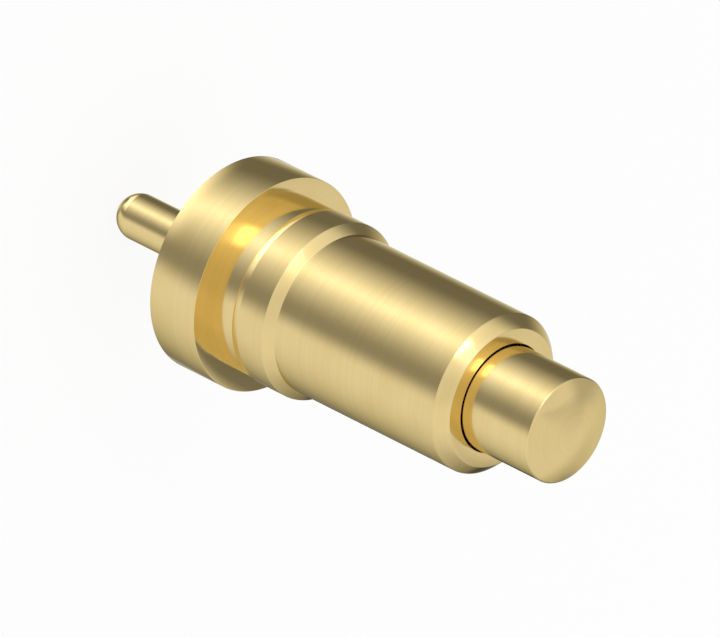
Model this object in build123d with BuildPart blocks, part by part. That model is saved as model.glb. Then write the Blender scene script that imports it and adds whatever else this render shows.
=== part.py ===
from build123d import *
import os
from math import radians, tan

# A spring contact: a turned barrel with a solder tail, the plunger that slides in it, and the
# coil spring behind the plunger. Lengths are in millimetres. Z is the axis of the contact, Z = 0
# is the board side of the flange, and the plunger points along +Z.

os.makedirs("parts", exist_ok=True)

# Solder tail, with a fully rounded end
tail_d = 0.51
tail_length = 1.60

# Plunger
rod_d = 1.176
rod_out = 0.935
dome_h = 0.14
shoulder_step = 0.092
shoulder_length = 1.25
spigot_length = 0.35
spigot_chamfer = 0.06

# Barrel, from the bore outwards
barrel_wall = 0.189
barrel_length = 2.293
floor_thickness = 0.45
point_angle = 118.0
lip_width = 0.163
lip_land = 0.10
roll_height = 0.139

# Collar and flange, each as the step out from the piece before it
collar_step = 0.0975
collar_length = 0.354
neck_relief = 0.0165
neck_length = 0.341
neck_taper = 0.093
flange_step = 0.2035
flange_thickness = 0.645

# Spring
wire_d = 0.14
wire_sides = 12
active_turns = 4
closed_turns = 1
closed_gap = 0.012

# Clearances
mouth_gap = 0.016
bore_gap = 0.02
stop_gap = 0.01
spring_gap = 0.07
spring_end_gap = 0.005
spigot_gap = 0.13
point_inset = 0.14

edge_radius = 0.02

# Radii
tail_r = tail_d / 2
rod_r = rod_d / 2
shoulder_r = rod_r + shoulder_step
mouth_r = rod_r + mouth_gap
lip_r = mouth_r + lip_width
bore_r = shoulder_r + bore_gap
barrel_r = bore_r + barrel_wall
collar_r = barrel_r + collar_step
neck_r = collar_r - neck_relief
flange_r = collar_r + flange_step
wire_r = wire_d / 2
spring_r = bore_r - spring_gap
coil_r = spring_r - wire_r
spigot_r = spring_r - wire_d - spigot_gap
point_r = spring_r - wire_d - point_inset

# Heights of the barrel, where the front of the collar falls at 45 degrees to the barrel
taper_start = flange_thickness + neck_length
collar_start = taper_start + neck_taper
collar_end = collar_start + collar_length
barrel_start = collar_end + collar_step
roll_start = barrel_start + barrel_length
mouth = roll_start + roll_height

# Heights of the bore, whose rolled lip narrows it at 45 degrees
point_bottom = floor_thickness - point_r / tan(radians(point_angle / 2))
lip_cone_end = mouth - lip_land
lip_cone_start = lip_cone_end - (bore_r - mouth_r)

# Heights of the plunger, whose shoulder stops against the cone of the lip
shoulder_front = lip_cone_start + (bore_r - shoulder_r) - stop_gap
shoulder_back = shoulder_front - shoulder_length
spigot_end = shoulder_back - spigot_length
tip_edge = mouth + rod_out
tip = tip_edge + dome_h

# Barrel, one turned piece: tail, flange, neck, collar and bored tube with its mouth rolled in
with BuildPart() as barrel:
    with BuildSketch(Plane.XZ):
        with BuildLine():
            CenterArc((0, tail_r - tail_length), tail_r, -90, 90)
            Polyline(
                (tail_r, tail_r - tail_length),
                (tail_r, 0),
                (flange_r, 0),
                (flange_r, flange_thickness),
                (neck_r, flange_thickness),
                (neck_r, taper_start),
                (collar_r, collar_start),
                (collar_r, collar_end),
                (barrel_r, barrel_start),
                (barrel_r, roll_start),
                (lip_r, mouth),
                (0, mouth),
                (0, -tail_length),
            )
        make_face()
    revolve(axis=Axis.Z)
    rim = barrel.edges().filter_by(GeomType.CIRCLE).group_by(SortBy.RADIUS)[-1]
    fillet(rim, radius=edge_radius)
    with BuildSketch(Plane.XZ):
        with BuildLine():
            Polyline(
                (0, point_bottom),
                (point_r, floor_thickness),
                (bore_r, floor_thickness),
                (bore_r, lip_cone_start),
                (mouth_r, lip_cone_end),
                (mouth_r, mouth),
                (0, mouth),
                close=True,
            )
        make_face()
    revolve(axis=Axis.Z, mode=Mode.SUBTRACT)

# Plunger: a spigot that centres the spring, the shoulder that runs in the bore, and the rod
# that stands out of the mouth with a shallow domed tip
with BuildPart() as plunger:
    with BuildSketch(Plane.XZ):
        with BuildLine():
            Polyline(
                (0, tip),
                (0, spigot_end),
                (spigot_r - spigot_chamfer, spigot_end),
                (spigot_r, spigot_end + spigot_chamfer),
                (spigot_r, shoulder_back),
                (shoulder_r, shoulder_back),
                (shoulder_r, shoulder_front),
                (rod_r, shoulder_front + shoulder_step),
                (rod_r, tip_edge),
            )
            dome_r = (rod_r**2 + dome_h**2) / (2 * dome_h)
            RadiusArc((rod_r, tip_edge), (0, tip), -dome_r)
        make_face()
    revolve(axis=Axis.Z)
    circles = plunger.edges().filter_by(lambda edge: edge.is_closed)
    fillet(circles.sort_by(Axis.Z)[-1], radius=edge_radius)

# Spring: a closed turn at each end and open turns between them, with both ends ground flat.
# Every stretch starts and ends on the XZ plane, where its wire section is the same. The wire is
# round, and narrow flats along it stand for its curve, which keeps its twisted surfaces light.
spring_foot = floor_thickness + spring_end_gap
spring_head = shoulder_back - spring_end_gap
closed_pitch = wire_d + closed_gap
closed_height = closed_turns * closed_pitch
open_height = spring_head - spring_foot - 2 * closed_height
stretches = [
    (spring_foot, closed_pitch, closed_height),
    (spring_foot + closed_height, open_height / active_turns, open_height),
    (spring_head - closed_height, closed_pitch, closed_height),
]
with BuildPart() as spring:
    for start, pitch, height in stretches:
        with BuildLine(Plane.XY.offset(start)):
            Helix(pitch, height, coil_r)
        with BuildSketch(Plane.XZ):
            with Locations((coil_r, start)):
                RegularPolygon(wire_r, wire_sides)
        sweep(is_frenet=True)
    split(bisect_by=Plane.XY.offset(spring_foot), keep=Keep.TOP)
    split(bisect_by=Plane.XY.offset(spring_head), keep=Keep.BOTTOM)

barrel.part.label = "barrel"
plunger.part.label = "plunger"
spring.part.label = "spring"

export_step(barrel.part, "parts/barrel.step")
export_step(plunger.part, "parts/plunger.step")
export_step(spring.part, "parts/spring.step")
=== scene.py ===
"""Looks of the spring contact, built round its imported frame.

Each piece is turned or wound anew from fine meshes on the sizes of the real one, and dressed in
gold plate. The contact stands upright in its frame, with its plunger towards +Z, and the camera
looks at it from the side and above, rolled so that the plunger points right and down.
"""

import logging
import math
from dataclasses import dataclass
from enum import Enum

import bmesh
import bpy
from mathutils import Matrix, Vector

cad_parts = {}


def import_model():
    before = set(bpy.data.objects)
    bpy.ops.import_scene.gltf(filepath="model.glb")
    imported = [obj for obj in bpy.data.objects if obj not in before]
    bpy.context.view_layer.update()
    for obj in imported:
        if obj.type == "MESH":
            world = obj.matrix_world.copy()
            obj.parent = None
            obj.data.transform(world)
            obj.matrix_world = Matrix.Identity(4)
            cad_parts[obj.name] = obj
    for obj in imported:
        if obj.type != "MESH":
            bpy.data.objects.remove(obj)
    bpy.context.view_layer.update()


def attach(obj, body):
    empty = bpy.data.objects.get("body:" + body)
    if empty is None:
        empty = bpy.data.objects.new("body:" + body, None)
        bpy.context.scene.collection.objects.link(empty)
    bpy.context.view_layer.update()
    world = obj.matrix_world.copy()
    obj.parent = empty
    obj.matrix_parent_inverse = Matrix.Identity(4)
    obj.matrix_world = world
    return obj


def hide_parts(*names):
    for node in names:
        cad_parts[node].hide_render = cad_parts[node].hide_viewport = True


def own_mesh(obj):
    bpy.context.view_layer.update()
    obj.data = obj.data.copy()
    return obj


log = logging.getLogger("spring_contact")

MM = 0.001
WELD = 1e-7  # metres: closer vertices are one vertex, far under the finest detail here
NOISE_LOW, NOISE_HIGH = 0.25, 0.75  # a noise's values rarely leave this range

Colour = tuple[float, float, float, float]
Border = tuple[float, float]  # where a soft border starts to show, and where it shows in full


def linear(code: str) -> Colour:
    """Turns an sRGB hex colour into linear light.

    Args:
        code: the colour, such as "#FFE29D".

    Returns:
        Red, green, blue and an alpha of 1.
    """
    shares = [int(code[i : i + 2], 16) / 255 for i in (1, 3, 5)]
    light = [s / 12.92 if s <= 0.04045 else ((s + 0.055) / 1.055) ** 2.4 for s in shares]
    return (*light, 1.0)


def fresh_tree(owner: bpy.types.Material | bpy.types.World) -> bpy.types.NodeTree:
    """Gives a material or a world an empty node tree."""
    owner.use_nodes = True
    owner.node_tree.nodes.clear()
    return owner.node_tree


def add_node(
    tree: bpy.types.NodeTree, kind: str, inputs: dict | None = None, **settings
) -> bpy.types.Node:
    """Adds a node, sets it and links it.

    Args:
        tree: the node tree that gets it.
        kind: the node's type, such as "ShaderNodeMath".
        inputs: input names or numbers, each with a value or with the output socket to link.
        settings: the node's own properties.

    Returns:
        The new node.
    """
    node = tree.nodes.new(kind)
    for name, value in settings.items():
        setattr(node, name, value)
    for key, value in (inputs or {}).items():
        if isinstance(value, bpy.types.NodeSocket):
            tree.links.new(value, node.inputs[key])
        else:
            node.inputs[key].default_value = value
    return node


class Marks(Enum):
    """Which way the tool left its marks under the plating."""

    TURNED = "turned"
    DRAWN = "drawn"


@dataclass(frozen=True)
class GoldPlate:
    """Gold, plated a micron thick over machined metal, so the tool's marks still show.

    The plating is satin: it blurs a reflection by a few degrees. A turned surface carries fine
    rings round the axis, where the gold lies a shade paler or deeper, and a faint unevenness of
    the plating clouds the gloss. Satin gold stays golden at its edges, where a polished metal
    mirrors white.
    """

    name: str
    marks: Marks
    colour: str = "#E9D297"
    deep_colour: str = "#E4CB8C"
    edge_colour: str = "#EDE7CB"
    tone_spread: float = 0.16
    roughness: float = 0.12
    cloud_mm: float = 0.35
    cloud_spread: float = 0.03
    mark_spacing_mm: float = 0.03  # the real feed is about 0.01 mm, too fine to show
    mark_depth_mm: float = 0.0001

    def material(self) -> bpy.types.Material:
        """Makes the plating's material."""
        material = bpy.data.materials.new(self.name)
        tree = fresh_tree(material)
        place = add_node(tree, "ShaderNodeTexCoord").outputs["Object"]
        cloud = add_node(
            tree,
            "ShaderNodeTexNoise",
            {"Vector": place, "Scale": 1 / (self.cloud_mm * MM), "Detail": 3.0, "Roughness": 0.5},
        ).outputs["Fac"]
        mark = self.mark_height(tree, place)
        both = add_node(tree, "ShaderNodeMath", {0: cloud, 1: mark}, operation="ADD").outputs[0]
        middle = NOISE_LOW + NOISE_HIGH  # of two noises added up
        tone = add_node(
            tree,
            "ShaderNodeMapRange",
            {
                "Value": both,
                "From Min": middle - 2 * self.tone_spread,
                "From Max": middle + 2 * self.tone_spread,
            },
        ).outputs["Result"]
        # A mix of colours reads its inputs 6 and 7 and writes its output 2.
        colour = add_node(
            tree,
            "ShaderNodeMix",
            {"Factor": tone, 6: linear(self.colour), 7: linear(self.deep_colour)},
            data_type="RGBA",
        ).outputs[2]
        gloss = add_node(
            tree,
            "ShaderNodeMapRange",
            {
                "Value": cloud,
                "From Min": NOISE_LOW,
                "From Max": NOISE_HIGH,
                "To Min": self.roughness - self.cloud_spread,
                "To Max": self.roughness + self.cloud_spread,
            },
        ).outputs["Result"]
        bump = add_node(
            tree,
            "ShaderNodeBump",
            {"Height": mark, "Strength": 1.0, "Distance": self.mark_depth_mm * MM},
        ).outputs["Normal"]
        gold = add_node(
            tree,
            "ShaderNodeBsdfPrincipled",
            {
                "Base Color": colour,
                "Metallic": 1.0,
                "Roughness": gloss,
                "Specular Tint": linear(self.edge_colour),
                "Normal": bump,
            },
        ).outputs["BSDF"]
        add_node(tree, "ShaderNodeOutputMaterial", {"Surface": gold})
        return material

    def mark_height(
        self, tree: bpy.types.NodeTree, place: bpy.types.NodeSocket
    ) -> bpy.types.NodeSocket:
        """Draws the tool's marks as a height.

        Args:
            tree: the material's node tree.
            place: the point on the piece.

        Returns:
            The height, from 0 to 1. Turned marks change with the distance from the axis and the
            height alone, so they run round it on walls and faces alike. Drawn marks are grain.
        """
        along = place
        if self.marks is Marks.TURNED:
            flat = add_node(
                tree, "ShaderNodeVectorMath", {0: place, 1: (1.0, 1.0, 0.0)}, operation="MULTIPLY"
            ).outputs[0]
            reach = add_node(
                tree, "ShaderNodeVectorMath", {0: flat}, operation="LENGTH"
            ).outputs["Value"]
            height = add_node(tree, "ShaderNodeSeparateXYZ", {0: place}).outputs["Z"]
            along = add_node(tree, "ShaderNodeCombineXYZ", {"X": reach, "Z": height}).outputs[0]
        return add_node(
            tree,
            "ShaderNodeTexNoise",
            {"Vector": along, "Scale": 1 / (self.mark_spacing_mm * MM), "Detail": 2.0},
        ).outputs["Fac"]


@dataclass
class Lathe:
    """Draws a round body along the Z axis, ring by ring, from the rim of its round end.

    Lengths are in millimetres and angles in degrees. The open ring is the one that the next call
    draws on from.
    """

    name: str
    first_radius: float
    first_height: float
    segments: int = 256
    crease: float = 8.0  # slighter bends belong to a curve
    corner: float = 15.0  # sharper bends are rounded, if they point outwards
    edge_steps: int = 4
    radius: float = 0.0
    height: float = 0.0

    def __post_init__(self) -> None:
        """Adds the first ring, which is open on both sides."""
        self.radius, self.height = self.first_radius, self.first_height
        bpy.ops.object.select_all(action="DESELECT")
        bpy.ops.mesh.primitive_circle_add(
            vertices=self.segments, radius=self.radius * MM, location=(0, 0, self.height * MM)
        )
        bpy.context.object.name = self.name
        bpy.ops.object.transform_apply(location=True, rotation=True, scale=True)
        bpy.ops.object.mode_set(mode="EDIT")
        bpy.ops.mesh.select_mode(type="EDGE")
        bpy.ops.mesh.select_all(action="SELECT")

    def to(self, radius: float, height: float) -> None:
        """Draws the open ring out to a new one."""
        bpy.ops.mesh.extrude_region_move(
            TRANSFORM_OT_translate={"value": (0, 0, (height - self.height) * MM)}
        )
        share = radius / self.radius
        bpy.ops.transform.resize(value=(share, share, 1), center_override=(0, 0, height * MM))
        self.radius, self.height = radius, height

    def close(self, height: float) -> None:
        """Draws the open ring to a point on the axis."""
        bpy.ops.mesh.extrude_region_move(
            TRANSFORM_OT_translate={"value": (0, 0, (height - self.height) * MM)}
        )
        bpy.ops.mesh.merge(type="CENTER")

    def dome(self, ball_r: float, up: bool, rings: int) -> None:
        """Draws the first ring to the pole of a ball, and goes back to it for the rest.

        Args:
            ball_r: the ball's radius.
            up: whether the pole is above the ring.
            rings: the rings up to the pole.
        """
        start = math.acos(min(1.0, self.radius / ball_r))
        way = 1 if up else -1
        centre = self.height - way * ball_r * math.sin(start)
        for ring in range(1, rings):
            angle = start + (math.pi / 2 - start) * ring / rings
            self.to(ball_r * math.cos(angle), centre + way * ball_r * math.sin(angle))
        self.close(centre + way * ball_r)
        bpy.ops.mesh.select_all(action="DESELECT")
        bpy.ops.mesh.select_non_manifold()
        self.radius, self.height = self.first_radius, self.first_height

    def finish(self, edge: float) -> bpy.types.Object:
        """Deburrs the body and ends the drawing.

        Args:
            edge: how far the rounding of an outer edge reaches.

        Returns:
            The body, with flat faces shaded flat. Inner corners and slight bends stay crisp.
        """
        bpy.ops.mesh.select_all(action="SELECT")
        bpy.ops.mesh.normals_make_consistent(inside=False)
        self.select_edges(-180, -self.crease)
        bpy.ops.mesh.mark_sharp()
        self.select_edges(self.crease, self.corner)
        bpy.ops.mesh.mark_sharp()
        self.select_edges(self.corner, 180)
        bpy.ops.mesh.bevel(offset=edge * MM, segments=self.edge_steps, affect="EDGES")
        bpy.ops.object.mode_set(mode="OBJECT")
        bpy.ops.object.shade_smooth(keep_sharp_edges=True)
        piece = bpy.context.object
        normals = piece.modifiers.new("flat faces", "WEIGHTED_NORMAL")
        normals.weight = 100  # the largest face at a vertex has all the say
        normals.keep_sharp = True
        bpy.ops.object.modifier_apply(modifier=normals.name)
        return piece

    def select_edges(self, least: float, most: float) -> None:
        """Selects the edges that bend by an angle in this range, which is negative inwards."""
        mesh = bmesh.from_edit_mesh(bpy.context.object.data)
        for edge in mesh.edges:
            bend = edge.calc_face_angle_signed(0.0)
            edge.select = math.radians(least) < bend < math.radians(most)
        mesh.select_flush(False)
        bmesh.update_edit_mesh(bpy.context.object.data)


def dress(piece: bpy.types.Object, finish: GoldPlate, body: str, node: str) -> None:
    """Gives a piece its finish and its place in the frame.

    Args:
        piece: the piece.
        finish: its finish.
        body: the body that it moves with.
        node: the solid that it stands for.
    """
    piece.data.materials.clear()
    piece.data.materials.append(finish.material())
    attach(piece, body)
    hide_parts(node)
    log.info("%s: %d faces, %s", piece.name, len(piece.data.polygons), finish.name)


@dataclass
class Barrel:
    """The turned barrel: solder tail, flange, neck, collar and bored tube with a rolled-in mouth.

    Sizes are in millimetres and heights are above the board side of the flange.
    """

    bore_floor: float = 0.45
    point_r: float = 0.35
    point_angle: float = 118.0
    bore_r: float = 0.70
    mouth_r: float = 0.604
    lip_r: float = 0.767
    lip_land: float = 0.10
    tube_r: float = 0.889
    tube_start: float = 1.5305
    tube_end: float = 3.8235
    mouth: float = 3.9625
    collar_r: float = 0.9865
    collar_start: float = 1.079
    collar_end: float = 1.433
    neck_r: float = 0.97
    neck_end: float = 0.986
    flange_r: float = 1.19
    flange_front: float = 0.645
    tail_r: float = 0.255
    tail_tip: float = -1.60
    edge: float = 0.005  # how far the rounding of an outer edge reaches

    # Free-cutting brass, turned from bar in one piece and gold plated all over: a warm satin
    # metal with fine rings round every wall and face, as the tool's feed left them.
    finish: GoldPlate = GoldPlate("gold plated turned brass", Marks.TURNED)

    def outside(self, lathe: Lathe) -> None:
        """Draws the outside, from the tail's round end up to the mouth's flat face."""
        lathe.dome(self.tail_r, up=False, rings=32)
        for radius, height in (
            (self.tail_r, 0.0),
            (self.flange_r, 0.0),
            (self.flange_r, self.flange_front),
            (self.neck_r, self.flange_front),
            (self.neck_r, self.neck_end),
            (self.collar_r, self.collar_start),
            (self.collar_r, self.collar_end),
            (self.tube_r, self.tube_start),
            (self.tube_r, self.tube_end),
            (self.lip_r, self.mouth),
        ):
            lathe.to(radius, height)

    def inside(self, lathe: Lathe) -> None:
        """Draws the lip, the bore and the point that the drill left under its floor."""
        lip_cone_end = self.mouth - self.lip_land
        for radius, height in (
            (self.mouth_r, self.mouth),
            (self.mouth_r, lip_cone_end),
            (self.bore_r, lip_cone_end - (self.bore_r - self.mouth_r)),
            (self.bore_r, self.bore_floor),
            (self.point_r, self.bore_floor),
        ):
            lathe.to(radius, height)
        lathe.close(self.bore_floor - self.point_r / math.tan(math.radians(self.point_angle / 2)))

    def build(self) -> None:
        """Makes the barrel and dresses it."""
        lathe = Lathe("turned_barrel", self.tail_r, self.tail_tip + self.tail_r)
        self.outside(lathe)
        self.inside(lathe)
        dress(lathe.finish(self.edge), self.finish, "barrel", "barrel")


@dataclass
class Plunger:
    """The plunger: domed rod, shoulder and the spigot that centres the spring.

    Sizes are in millimetres and heights are above the board side of the flange.
    """

    rod_r: float = 0.588
    tip_edge: float = 4.8975
    dome_h: float = 0.14
    shoulder_r: float = 0.68
    shoulder_front: float = 3.7765
    shoulder_back: float = 2.5265
    spigot_r: float = 0.36
    spigot_end: float = 2.1765
    spigot_chamfer: float = 0.06
    edge: float = 0.016  # how far the rounding of an outer edge reaches

    # Beryllium copper, turned and gold plated like the barrel: the same warm satin, with rings
    # that close in on the middle of the dome.
    finish: GoldPlate = GoldPlate("gold plated turned copper", Marks.TURNED)

    def build(self) -> None:
        """Makes the plunger, from its dome down to the spigot, and dresses it."""
        lathe = Lathe("domed_plunger", self.rod_r, self.tip_edge)
        lathe.dome((self.rod_r**2 + self.dome_h**2) / (2 * self.dome_h), up=True, rings=24)
        for radius, height in (
            (self.rod_r, self.shoulder_front + self.shoulder_r - self.rod_r),
            (self.shoulder_r, self.shoulder_front),
            (self.shoulder_r, self.shoulder_back),
            (self.spigot_r, self.shoulder_back),
            (self.spigot_r, self.spigot_end + self.spigot_chamfer),
            (self.spigot_r - self.spigot_chamfer, self.spigot_end),
        ):
            lathe.to(radius, height)
        lathe.close(self.spigot_end)
        dress(lathe.finish(self.edge), self.finish, "plunger", "plunger")


@dataclass
class Spring:
    """The coil spring behind the plunger, closed and ground flat at both ends.

    Sizes are in millimetres and heights are above the board side of the flange.
    """

    foot: float = 0.455
    head: float = 2.5215
    wire_r: float = 0.07
    coil_r: float = 0.56
    open_turns: int = 4
    closed_pitch: float = 0.152
    stroke: float = 0.9
    wire_sides: int = 24
    steps: int = 96
    smooth_below: float = 35.0  # degrees: only the rims of the ground ends bend more

    # Drawn spring wire with a thin flash of gold: duller than the turned pieces, with the fine
    # grain of drawn metal in place of rings.
    finish: GoldPlate = GoldPlate(
        "gold plated spring wire", Marks.DRAWN, roughness=0.3, mark_depth_mm=0.00008
    )

    def stretch(self, start: float, pitch: float, turns: int) -> bpy.types.Object:
        """Winds one stretch of even pitch.

        Args:
            start: the height at which it starts, on the XZ plane.
            pitch: its rise in a turn.
            turns: its turns.

        Returns:
            The wound wire, open at both ends.
        """
        bpy.ops.object.select_all(action="DESELECT")
        bpy.ops.mesh.primitive_circle_add(
            vertices=self.wire_sides,
            radius=self.wire_r * MM,
            location=(self.coil_r * MM, 0, start * MM),
            rotation=(math.pi / 2, 0, 0),
        )
        bpy.ops.object.transform_apply(location=True, rotation=True, scale=True)
        wire = bpy.context.object
        wind = wire.modifiers.new("wound", "SCREW")
        wind.axis = "Z"
        wind.screw_offset = pitch * MM
        wind.iterations = turns
        wind.steps = wind.render_steps = self.steps
        bpy.ops.object.modifier_apply(modifier=wind.name)
        return wire

    def build(self) -> None:
        """Winds the three stretches, joins them, grinds both ends and dresses the spring."""
        open_start = self.foot + self.closed_pitch
        open_end = self.head - self.closed_pitch
        open_pitch = (open_end - open_start) / self.open_turns
        stretches = [
            self.stretch(self.foot, self.closed_pitch, 1),
            self.stretch(open_start, open_pitch, self.open_turns),
            self.stretch(open_end, self.closed_pitch, 1),
        ]
        for wire in stretches:
            wire.select_set(True)
        bpy.ops.object.join()
        piece = bpy.context.object
        piece.name = "coil_spring"
        bpy.ops.object.mode_set(mode="EDIT")
        bpy.ops.mesh.select_all(action="SELECT")
        bpy.ops.mesh.remove_doubles(threshold=WELD)
        bpy.ops.mesh.fill_holes(sides=0)
        for height, keep in ((self.foot, -1), (self.head, 1)):
            bpy.ops.mesh.select_all(action="SELECT")
            bpy.ops.mesh.bisect(
                plane_co=(0, 0, height * MM),
                plane_no=(0, 0, keep),
                use_fill=True,
                clear_outer=True,
                threshold=WELD,
            )
        bpy.ops.mesh.select_all(action="SELECT")
        bpy.ops.mesh.normals_make_consistent(inside=False)
        bpy.ops.object.mode_set(mode="OBJECT")
        bpy.ops.object.shade_smooth_by_angle(angle=math.radians(self.smooth_below))
        dress(piece, self.finish, "barrel", "spring")
        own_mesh(piece)


@dataclass
class Floor:
    """A plain pale floor under the tail, which keeps a faint shadow of the contact.

    Sizes are in millimetres. Near the contact the floor is paint and background in one, and
    from near to far it goes over into background alone.
    """

    height: float = -1.60
    span: float = 1200.0
    colour: str = "#FAFAFA"
    near: float = 6.0
    far: float = 30.0
    glow_near: float = 0.88  # the background's share near the contact

    def material(self) -> bpy.types.Material:
        """Makes pale paint that shows as the white background, all the more so far away."""
        material = bpy.data.materials.new("pale floor paint")
        tree = fresh_tree(material)
        paint = add_node(tree, "ShaderNodeBsdfDiffuse", {"Color": linear(self.colour)}).outputs[0]
        glow = add_node(tree, "ShaderNodeEmission", {"Strength": 1.0}).outputs[0]
        path = add_node(tree, "ShaderNodeLightPath").outputs
        seen = path["Is Camera Ray"]
        for ray in ("Is Glossy Ray", "Is Transmission Ray"):
            seen = add_node(
                tree, "ShaderNodeMath", {0: seen, 1: path[ray]}, operation="MAXIMUM"
            ).outputs[0]
        place = add_node(tree, "ShaderNodeTexCoord").outputs["Object"]
        reach = add_node(
            tree, "ShaderNodeVectorMath", {0: place}, operation="LENGTH"
        ).outputs["Value"]
        glow_here = add_node(
            tree,
            "ShaderNodeMapRange",
            {
                "Value": reach,
                "From Min": self.near * MM,
                "From Max": self.far * MM,
                "To Min": self.glow_near,
                "To Max": 1.0,
            },
            interpolation_type="SMOOTHSTEP",
        ).outputs["Result"]
        share = add_node(
            tree, "ShaderNodeMath", {0: seen, 1: glow_here}, operation="MULTIPLY"
        ).outputs[0]
        top = add_node(tree, "ShaderNodeMixShader", {0: share, 1: paint, 2: glow}).outputs[0]
        # From below the floor is clear, so that it never hides the contact.
        below = add_node(tree, "ShaderNodeNewGeometry").outputs["Backfacing"]
        clear = add_node(tree, "ShaderNodeBsdfTransparent").outputs[0]
        floor = add_node(tree, "ShaderNodeMixShader", {0: below, 1: top, 2: clear}).outputs[0]
        add_node(tree, "ShaderNodeOutputMaterial", {"Surface": floor})
        return material

    def build(self) -> None:
        """Lays the floor. Gloss looks past it, because the studio's panels go on below it."""
        bpy.ops.object.select_all(action="DESELECT")
        bpy.ops.mesh.primitive_plane_add(size=self.span * MM, location=(0, 0, self.height * MM))
        bpy.ops.object.transform_apply(location=True, rotation=True, scale=True)
        floor = bpy.context.object
        floor.name = "floor"
        floor.data.materials.append(self.material())
        floor.visible_glossy = False


def within(
    tree: bpy.types.NodeTree,
    borders: tuple[tuple[bpy.types.NodeSocket, Border | None], ...],
    smooth: bool,
) -> bpy.types.NodeSocket | float:
    """Works out how far a point lies inside soft borders.

    Args:
        tree: the node tree.
        borders: places, each with its border, or with none where there is no limit.
        smooth: whether the borders start and end gently.

    Returns:
        The share, from 0 outside to 1 inside all the borders.
    """
    share = 1.0
    for place, border in borders:
        if border is None:
            continue
        rising = border[0] < border[1]
        limits = {"From Min": min(border), "From Max": max(border)}
        ends = {"To Min": 0.0 if rising else 1.0, "To Max": 1.0 if rising else 0.0}
        step = add_node(
            tree,
            "ShaderNodeMapRange",
            {"Value": place, **limits, **ends},
            interpolation_type="SMOOTHSTEP" if smooth else "LINEAR",
        ).outputs["Result"]
        share = add_node(
            tree, "ShaderNodeMath", {0: share, 1: step}, operation="MULTIPLY"
        ).outputs[0]
    return share


@dataclass
class PaintedShadeSheet:
    """A sheet of painted shade, hung behind the contact in the light that its +X side's flat faces mirror.

    It paints shade into those faces' reflections, where there is only shade and no sheet. Only gloss
    meets it: the camera and the floor look past it. Sizes are in millimetres.
    """

    behind: float = 1.5
    foot: float = -1.60
    left: Border = (0.35, 0.95)
    right: Border = (1.6, 1.2)
    top: Border = (6.0, 3.8)
    passes: float = 0.25  # the share of the mirrored light that its densest part lets through: how deep the painted shade goes

    def material(self) -> bpy.types.Material:
        """Makes the sheet's painted shade as a smooth grey tint, clear at its borders."""
        material = bpy.data.materials.new("painted shade sheet")
        tree = fresh_tree(material)
        place = add_node(tree, "ShaderNodeTexCoord").outputs["Object"]
        scaled = add_node(
            tree, "ShaderNodeVectorMath", {0: place, "Scale": 1 / MM}, operation="SCALE"
        ).outputs[0]
        axes = add_node(tree, "ShaderNodeSeparateXYZ", {0: scaled}).outputs
        borders = ((axes["X"], self.left), (axes["X"], self.right), (axes["Z"], self.top))
        share = within(tree, borders, smooth=True)
        tint = add_node(
            tree, "ShaderNodeMix", {"Factor": share, "A": 1.0, "B": self.passes}
        ).outputs[0]
        # painted shade: a grey tint that darkens whatever the metal mirrors through the sheet
        painted_shade = add_node(tree, "ShaderNodeBsdfTransparent", {"Color": tint}).outputs[0]
        add_node(tree, "ShaderNodeOutputMaterial", {"Surface": painted_shade})
        return material

    def build(self) -> None:
        """Hangs the sheet of painted shade."""
        bpy.ops.object.select_all(action="DESELECT")
        bpy.ops.mesh.primitive_plane_add(size=1.0, rotation=(math.pi / 2, 0, 0))
        bpy.ops.object.transform_apply(location=True, rotation=True, scale=True)
        bpy.ops.object.mode_set(mode="EDIT")
        bpy.ops.mesh.select_all(action="SELECT")
        width, height = self.right[0] - self.left[0], self.top[0] - self.foot
        bpy.ops.transform.resize(value=(width * MM, 1, height * MM))
        middle = (self.left[0] + width / 2, self.behind, self.foot + height / 2)
        bpy.ops.transform.translate(value=[length * MM for length in middle])
        bpy.ops.object.mode_set(mode="OBJECT")
        painted_shade_sheet = bpy.context.object
        # a sheet of painted shade, which gloss alone meets
        painted_shade_sheet.name = "painted_shade_sheet"
        painted_shade_sheet.data.materials.append(self.material())
        painted_shade_sheet.visible_camera = False
        painted_shade_sheet.visible_diffuse = False
        painted_shade_sheet.visible_transmission = False
        painted_shade_sheet.visible_shadow = False


@dataclass(frozen=True)
class Panel:
    """A panel of the studio, with soft edges, that the metal mirrors.

    Angles are in degrees: round the compass from -Y towards +X, and up from the level. Without a
    border the panel goes on. With a falloff above 1 it fades fast at first and then trails out.
    """

    name: str
    glow: float
    left: Border | None = None
    right: Border | None = None
    foot: Border | None = None
    top: Border | None = None
    falloff: float = 1.0

    def cover(
        self, tree: bpy.types.NodeTree, compass: bpy.types.NodeSocket, rise: bpy.types.NodeSocket
    ) -> bpy.types.NodeSocket:
        """Works out how much of the view the panel fills.

        Args:
            tree: the world's node tree.
            compass: the direction's compass angle.
            rise: its angle above the level.

        Returns:
            The panel's share, from 0 to 1.
        """
        # The compass is read from behind the panel's middle, so that it has no seam in the panel.
        middle = (self.left[1] + self.right[1]) / 2 if self.left and self.right else 0.0
        turned = add_node(
            tree, "ShaderNodeMath", {0: compass, 1: middle + 180, 2: middle - 180}, operation="WRAP"
        ).outputs[0]
        borders = ((turned, self.left), (turned, self.right), (rise, self.foot), (rise, self.top))
        share = within(tree, borders, smooth=self.falloff == 1.0)
        return add_node(
            tree, "ShaderNodeMath", {0: share, 1: self.falloff}, operation="POWER"
        ).outputs[0]


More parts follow.
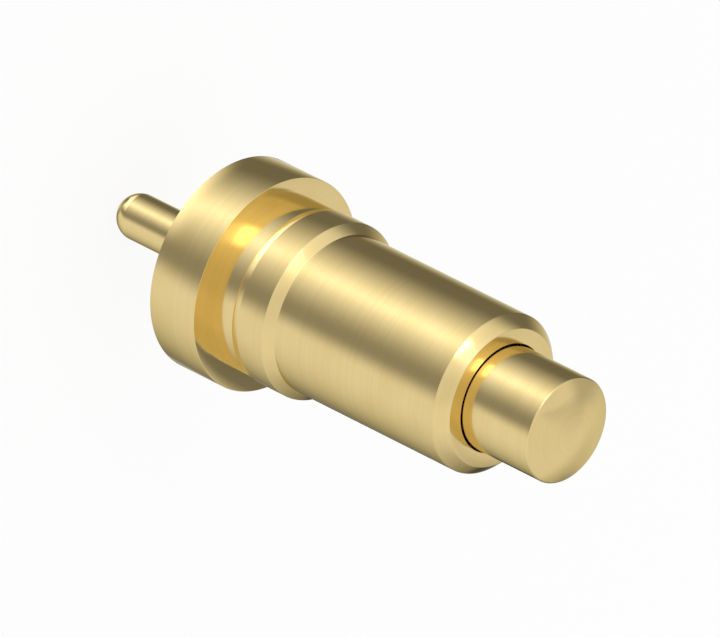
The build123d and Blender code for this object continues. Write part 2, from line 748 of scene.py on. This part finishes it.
@dataclass
class Studio:
    """Soft panels all round the contact, with dim gaps between them.

    A bright key stands to the front left, with its core high up, and shows again low down. A
    wide paler fill stands to the right and a wall behind, under a ceiling that is brighter to
    the right than to the back. Each panel covers the ones before it.
    """

    colour: str = "#FFFFFF"
    gaps: float = 0.2
    panels: tuple[Panel, ...] = (
        Panel("front haze", 0.34, left=(-60, -10), right=(160, 100)),
        Panel("wide fill", 0.93, left=(22, 50), right=(178, 62)),
        Panel("back wall", 0.82, left=(153, 180), right=(229, 192)),
        Panel("back wall's upper edge", 0.72, left=(138, 158), right=(190, 172), foot=(-6, 14)),
        Panel("ceiling", 0.87, foot=(12, 30)),
        Panel("ceiling's bright side", 0.96, left=(36, 60), right=(104, 80), foot=(18, 32), top=(66, 46)),
        Panel("ceiling's dim stripe", 0.69, left=(165, 215), right=(222, 206), foot=(30, 44), top=(90, 80)),
        Panel("ceiling's dim corner", 0.56, left=(192, 212), right=(250, 234), foot=(12, 24), top=(56, 38)),
        Panel("key", 1.5, left=(-108, -42), right=(16, -36), top=(90, 50), falloff=1.6),
        Panel("key's upper core", 1.8, left=(-58, -41), right=(-14, -34), foot=(20, 34), top=(56, 42)),
        Panel("key's bright edge", 3.6, left=(-56, -46), right=(-18, -32), foot=(24, 31), top=(41, 38)),
        Panel("low sweep", 1.5, left=(-140, -90), right=(15, -30), foot=(-68, -60), top=(-42, -50)),
        Panel("low core", 2.9, left=(-96, -56), right=(-16, -42), foot=(-66, -60), top=(-46, -53)),
        Panel("middle of the floor", 0.5, top=(-72, -84)),
    )

    def room(self, tree: bpy.types.NodeTree) -> bpy.types.NodeSocket:
        """Puts up the panels, one over the other.

        Args:
            tree: the world's node tree.

        Returns:
            The light that comes from a direction.
        """
        way = add_node(tree, "ShaderNodeTexCoord").outputs["Generated"]
        axes = add_node(tree, "ShaderNodeSeparateXYZ", {0: way}).outputs
        front = add_node(
            tree, "ShaderNodeMath", {0: axes["Y"], 1: -1.0}, operation="MULTIPLY"
        ).outputs[0]
        turn = add_node(
            tree, "ShaderNodeMath", {0: axes["X"], 1: front}, operation="ARCTAN2"
        ).outputs[0]
        tilt = add_node(tree, "ShaderNodeMath", {0: axes["Z"]}, operation="ARCSINE").outputs[0]
        compass, rise = (
            add_node(tree, "ShaderNodeMath", {0: angle}, operation="DEGREES").outputs[0]
            for angle in (turn, tilt)
        )
        light = self.gaps
        for panel in self.panels:
            light = add_node(
                tree,
                "ShaderNodeMix",
                {"Factor": panel.cover(tree, compass, rise), "A": light, "B": panel.glow},
                label=panel.name,
            ).outputs[0]
        return light

    def build(self) -> None:
        """Makes the world: white to the camera and through glass, and the panels for all else."""
        world = bpy.data.worlds.new("studio")
        bpy.context.scene.world = world
        tree = fresh_tree(world)
        path = add_node(tree, "ShaderNodeLightPath").outputs
        seen = add_node(
            tree,
            "ShaderNodeMath",
            {0: path["Is Camera Ray"], 1: path["Is Transmission Ray"]},
            operation="MAXIMUM",
        ).outputs[0]
        strength = add_node(
            tree, "ShaderNodeMix", {"Factor": seen, "A": self.room(tree), "B": 1.0}
        ).outputs[0]
        light = add_node(
            tree, "ShaderNodeBackground", {"Color": linear(self.colour), "Strength": strength}
        ).outputs[0]
        add_node(tree, "ShaderNodeOutputWorld", {"Surface": light})


@dataclass
class LongCamera:
    """A very long lens, whose view is all but parallel, as the photograph's is.

    The photograph is an even oblique view: seen with the contact lying level, the camera stands
    45 degrees round from its axis and 30 degrees up. In the upright frame that is the same view,
    rolled with the contact. Lengths are in millimetres, and the image's width is in pixels.
    """

    around: float = 45.0
    above: float = 30.0
    lens: float = 1300.0
    sensor: float = 36.0
    image_width: float = 720.0
    pixels_per_mm: float = 96.5
    nearest: float = 10.0
    aim: tuple[float, float, float] = (-0.0808, 0.0, 1.8416)

    def turn(self) -> Matrix:
        """Works out the camera's right, up and backward directions in the upright frame."""
        around, above = math.radians(self.around), math.radians(self.above)
        axis_right = math.sin(around)
        axis_up = -math.cos(around) * math.sin(above)
        axis_back = math.cos(around) * math.cos(above)
        across = math.hypot(axis_right, axis_up)
        cast = Vector((axis_up, -axis_right)) / across
        right = Vector((cast.x, axis_back * axis_right / across, axis_right))
        up = Vector((cast.y, axis_back * axis_up / across, axis_up))
        back = Vector((0.0, -across, axis_back))
        return Matrix((right, up, back)).transposed()

    def build(self) -> None:
        """Sets the camera up and makes it the scene's."""
        data = bpy.data.cameras.new("long lens")
        data.lens = self.lens
        data.sensor_width = self.sensor
        camera = bpy.data.objects.new("long lens", data)
        bpy.context.scene.collection.objects.link(camera)
        turn = self.turn()
        view_width = self.image_width / self.pixels_per_mm
        distance = view_width * self.lens / self.sensor
        place = Vector(self.aim) + turn.col[2] * distance
        camera.matrix_world = Matrix.Translation(place * MM) @ turn.to_4x4()
        data.clip_start = self.nearest * MM
        data.clip_end = 2 * distance * MM
        bpy.context.scene.camera = camera


def main() -> None:
    """Builds the contact and its studio in order."""
    logging.basicConfig(level=logging.INFO, format="%(name)s: %(message)s")
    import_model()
    Barrel().build()
    Plunger().build()
    Spring().build()
    Floor().build()
    # painted shade in the reflections on the +X side of the flange's and the mouth's flat faces
    PaintedShadeSheet().build()
    Studio().build()
    LongCamera().build()
    bpy.context.scene.view_settings.view_transform = "Standard"


if __name__ == "__main__":
    main()
